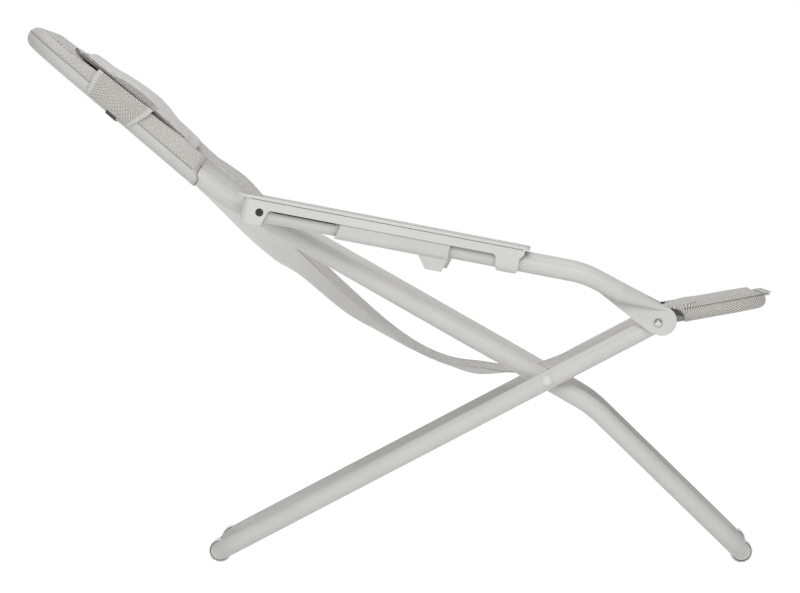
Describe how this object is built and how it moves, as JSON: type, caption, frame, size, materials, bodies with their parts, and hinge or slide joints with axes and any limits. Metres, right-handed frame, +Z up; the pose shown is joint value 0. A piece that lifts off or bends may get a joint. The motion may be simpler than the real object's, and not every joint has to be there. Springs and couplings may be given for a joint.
{
  "type": "folding sun lounger",
  "caption": "Folding tube-frame sun lounger with crossing legs, telescopic armrests with release levers, a fabric sling seat and a sliding headrest pillow.",
  "frame": {"origin": "on the floor under the middle of the lounger, as it stands at its upright position", "axes": "+X to the foot end, +Y to the sitter's left, +Z up"},
  "size_m": [1.1272, 0.667, 0.8052],
  "materials": {
    "painted_tube": "fine matt powder coat",
    "armrest_plastic": "fine grained",
    "lever_plastic": "fine grained",
    "foot_plastic": "satin",
    "spacer_plastic": "satin",
    "spigot_steel": "plain",
    "rivet_painted": "satin",
    "screw_steel": "bright",
    "bolt_black": "black oxide",
    "mesh_fabric": "coated mesh weave",
    "headrest_fabric": "coated mesh weave",
    "strap_webbing": "ribbed webbing",
    "buckle_plastic": "moulded"
  },
  "bodies": {
    "back_frame": {"head_tube": "painted_tube", "back_leg_tube": "painted_tube", "back_spigot_left": "spigot_steel", "back_spigot_right": "spigot_steel", "front_foot_pad_left": "foot_plastic", "front_foot_pad_right": "foot_plastic", "crossing_rivet_left": "rivet_painted", "crossing_rivet_right": "rivet_painted", "crossing_spacer_left": "spacer_plastic", "crossing_spacer_right": "spacer_plastic", "armrest_bolt_left": "bolt_black", "armrest_bolt_right": "bolt_black", "armrest_nut_left": "screw_steel", "armrest_nut_right": "screw_steel", "back_sling": "mesh_fabric", "seat_sling": "mesh_fabric"},
    "seat_frame": {"rear_leg_tube": "painted_tube", "front_tube": "painted_tube", "seat_bush_left": "spigot_steel", "seat_bush_right": "spigot_steel", "rear_foot_pad_left": "foot_plastic", "rear_foot_pad_right": "foot_plastic", "link_screw_left": "screw_steel", "link_screw_right": "screw_steel", "link_washer_left": "spacer_plastic", "link_washer_right": "spacer_plastic", "link_nut_left": "screw_steel", "link_nut_right": "screw_steel", "front_pocket": "mesh_fabric"},
    "headrest": {"headrest_pillow": "headrest_fabric", "headrest_wrap_left": "headrest_fabric", "headrest_wrap_right": "headrest_fabric", "headrest_strap": "strap_webbing", "headrest_buckle": "buckle_plastic"},
    "link_left": {"link_tube_left": "painted_tube", "link_plug_left": "spacer_plastic"},
    "armrest_left": {"armrest_body_left": "armrest_plastic", "armrest_cover_left": "armrest_plastic", "lever_pin_outer_left": "screw_steel", "lever_pin_inner_left": "screw_steel"},
    "lever_left": {"release_lever_left": "lever_plastic"},
    "link_right": {"link_tube_right": "painted_tube", "link_plug_right": "spacer_plastic"},
    "armrest_right": {"armrest_body_right": "armrest_plastic", "armrest_cover_right": "armrest_plastic", "lever_pin_outer_right": "screw_steel", "lever_pin_inner_right": "screw_steel"},
    "lever_right": {"release_lever_right": "lever_plastic"}
  },
  "joints": [
    {"name": "fold", "type": "hinge", "parent": "back_frame", "child": "seat_frame", "pos_m": [0.2242, 0, 0.2755], "axis": [0, 1, 0], "range_deg": [0, 52], "deforming": ["seat_sling"]},
    {"name": "armrest_pivot_left", "type": "hinge", "parent": "back_frame", "child": "armrest_left", "pos_m": [-0.2054, 0, 0.5263], "axis": [0, 1, 0], "range_deg": [0, 14.27]},
    {"name": "link_pivot_left", "type": "hinge", "parent": "seat_frame", "child": "link_left", "pos_m": [0.39067, 0, 0.36308], "axis": [0, 1, 0], "range_deg": [-38.73, 0]},
    {"name": "release_lever_left", "type": "hinge", "parent": "armrest_left", "child": "lever_left", "pos_m": [-0.07992, 0, 0.51452], "axis": [0, 1, 0], "range_deg": [0, 6], "stiffness_Nm_per_rad": 2, "springref_deg": -3.44},
    {"name": "armrest_pivot_right", "type": "hinge", "parent": "back_frame", "child": "armrest_right", "pos_m": [-0.2054, 0, 0.5263], "axis": [0, 1, 0], "range_deg": [0, 14.27]},
    {"name": "link_pivot_right", "type": "hinge", "parent": "seat_frame", "child": "link_right", "pos_m": [0.39067, 0, 0.36308], "axis": [0, 1, 0], "range_deg": [-38.73, 0]},
    {"name": "release_lever_right", "type": "hinge", "parent": "armrest_right", "child": "lever_right", "pos_m": [-0.07992, 0, 0.51452], "axis": [0, 1, 0], "range_deg": [0, 6], "stiffness_Nm_per_rad": 2, "springref_deg": -3.44},
    {"name": "headrest_slide", "type": "slide", "parent": "back_frame", "child": "headrest", "axis": [0.7649, 0, -0.6441], "range_m": [-0.03, 0.045]}
  ],
  "couplings": [
    {"joint": "armrest_pivot_left", "follows": "fold", "ratio": 0.26482},
    {"joint": "link_pivot_left", "follows": "fold", "ratio": -0.73518},
    {"joint": "armrest_pivot_right", "follows": "fold", "ratio": 0.26482},
    {"joint": "link_pivot_right", "follows": "fold", "ratio": -0.73518}
  ]
}
